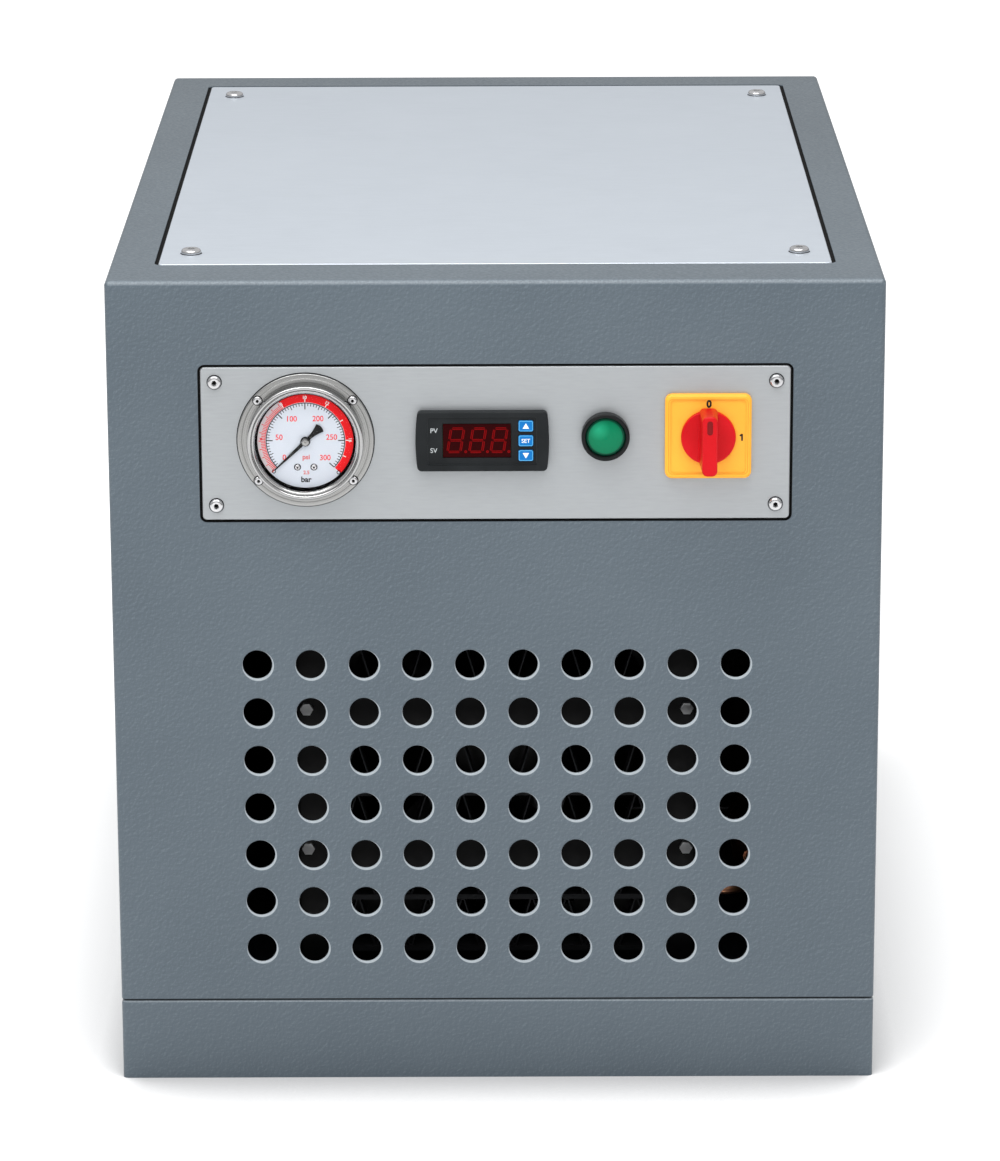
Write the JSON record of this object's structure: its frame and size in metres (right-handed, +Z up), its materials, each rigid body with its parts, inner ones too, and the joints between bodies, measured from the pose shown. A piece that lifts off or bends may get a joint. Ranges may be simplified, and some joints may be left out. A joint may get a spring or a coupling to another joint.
{
  "type": "refrigerated air dryer",
  "caption": "Floor-standing refrigerated compressed-air dryer cabinet with a perforated front, a removable top plate and a control panel with gauge, controller, lamp and rotary switch.",
  "frame": {"origin": "centre of the base's footprint on the floor, which is the centre of the floor bolt pattern", "axes": "+Z up, the controls and the grille face -Y, +X to the right seen from the front"},
  "size_m": [0.435, 0.6884, 0.476],
  "materials": {
    "powder_coat": "fine orange-peel powder coat, satin",
    "rear_coat": "fine orange-peel powder coat, satin",
    "plate_aluminium": "fine satin",
    "panel_aluminium": "satin with bright edges",
    "bright_screws": "polished",
    "zinc_steel": "zinc plated",
    "black_steel": "black lacquered sheet",
    "gauge_steel": "turned satin",
    "gauge_bright": "polished",
    "gauge_black": "black lacquer",
    "dial_white": "matt white print ground",
    "gauge_glass": "clear",
    "brass": "machined",
    "charcoal_plastic": "fine texture",
    "circuit_board": "solder mask",
    "display_red": "dark red window",
    "key_blue": "satin keys",
    "black_plastic": "moulded",
    "lens_green": "translucent green",
    "switch_yellow": "satin yellow",
    "switch_red": "satin red",
    "marker_dark": "dark insert",
    "plain_steel": "ground",
    "condenser_aluminium": "brazed, dull",
    "motor_grey": "grey lacquer",
    "compressor_black": "black enamel",
    "rubber": "moulded",
    "foam_jacket": "closed-cell foam skin",
    "nickel_brass": "nickel plated",
    "copper": "drawn copper"
  },
  "bodies": {
    "cabinet": {"air_pipes": "copper", "air_ports": "nickel_brass", "base": "powder_coat", "cable_gland": "black_plastic", "compressor_bolts": "zinc_steel", "compressor_cover": "black_plastic", "compressor_foot": "compressor_black", "compressor_grommets": "rubber", "compressor_shell": "compressor_black", "condenser_bolts": "zinc_steel", "condenser_brackets": "black_steel", "condenser_fins": "condenser_aluminium", "condenser_headers": "condenser_aluminium", "condenser_rails": "black_steel", "condenser_tubes": "condenser_aluminium", "control_panel": "panel_aluminium", "controller_bezel": "charcoal_plastic", "controller_board": "circuit_board", "controller_case": "charcoal_plastic", "controller_display": "display_red", "copper_pipes": "copper", "drain_fitting": "brass", "drain_valve": "brass", "exchanger_stand": "zinc_steel", "fan_motor": "motor_grey", "fan_shroud": "black_steel", "fan_spider": "black_steel", "filter_drier": "copper", "gauge_bezel": "gauge_bright", "gauge_case": "gauge_black", "gauge_dial": "dial_white", "gauge_dial_screws": "bright_screws", "gauge_flange": "gauge_steel", "gauge_flange_screws": "bright_screws", "gauge_glass": "gauge_glass", "gauge_movement": "brass", "heat_exchanger": "foam_jacket", "hood": "powder_coat", "hood_screws": "zinc_steel", "lamp_bezel": "black_plastic", "lamp_lens": "lens_green", "lamp_nut": "black_plastic", "panel_screws": "bright_screws", "port_nuts": "nickel_brass", "rear_panel": "rear_coat", "rear_panel_screws": "zinc_steel", "switch_body": "black_plastic", "switch_plate": "switch_yellow", "terminal_box": "motor_grey", "top_plate": "plate_aluminium", "top_plate_screws": "bright_screws"},
    "switch_handle": {"switch_knob": "switch_red", "switch_indicator": "marker_dark", "switch_shaft": "plain_steel"},
    "pointer": {"gauge_pointer": "gauge_black"},
    "up_key": {"key_up": "key_blue"},
    "set_key": {"key_set": "key_blue"},
    "down_key": {"key_down": "key_blue"},
    "fan": {"fan_rotor": "black_plastic", "fan_shaft": "plain_steel"}
  },
  "joints": [
    {"name": "switch_turn", "type": "hinge", "parent": "cabinet", "child": "switch_handle", "pos_m": [0.119, -0.319, 0.3839], "axis": [0, 1, 0], "range_deg": [0, 90]},
    {"name": "pointer_turn", "type": "hinge", "parent": "cabinet", "child": "pointer", "pos_m": [-0.1065, -0.319, 0.382], "axis": [0, 1, 0], "range_deg": [0, 267], "stiffness_Nm_per_rad": 0.0002},
    {"name": "up_press", "type": "slide", "parent": "cabinet", "child": "up_key", "axis": [0, 1, 0], "range_m": [0, 0.0008], "stiffness_N_per_m": 600},
    {"name": "set_press", "type": "slide", "parent": "cabinet", "child": "set_key", "axis": [0, 1, 0], "range_m": [0, 0.0008], "stiffness_N_per_m": 600},
    {"name": "down_press", "type": "slide", "parent": "cabinet", "child": "down_key", "axis": [0, 1, 0], "range_m": [0, 0.0008], "stiffness_N_per_m": 600},
    {"name": "fan_spin", "type": "hinge", "parent": "cabinet", "child": "fan", "pos_m": [0, -0.25, 0.178], "axis": [0, 1, 0], "continuous": true}
  ]
}
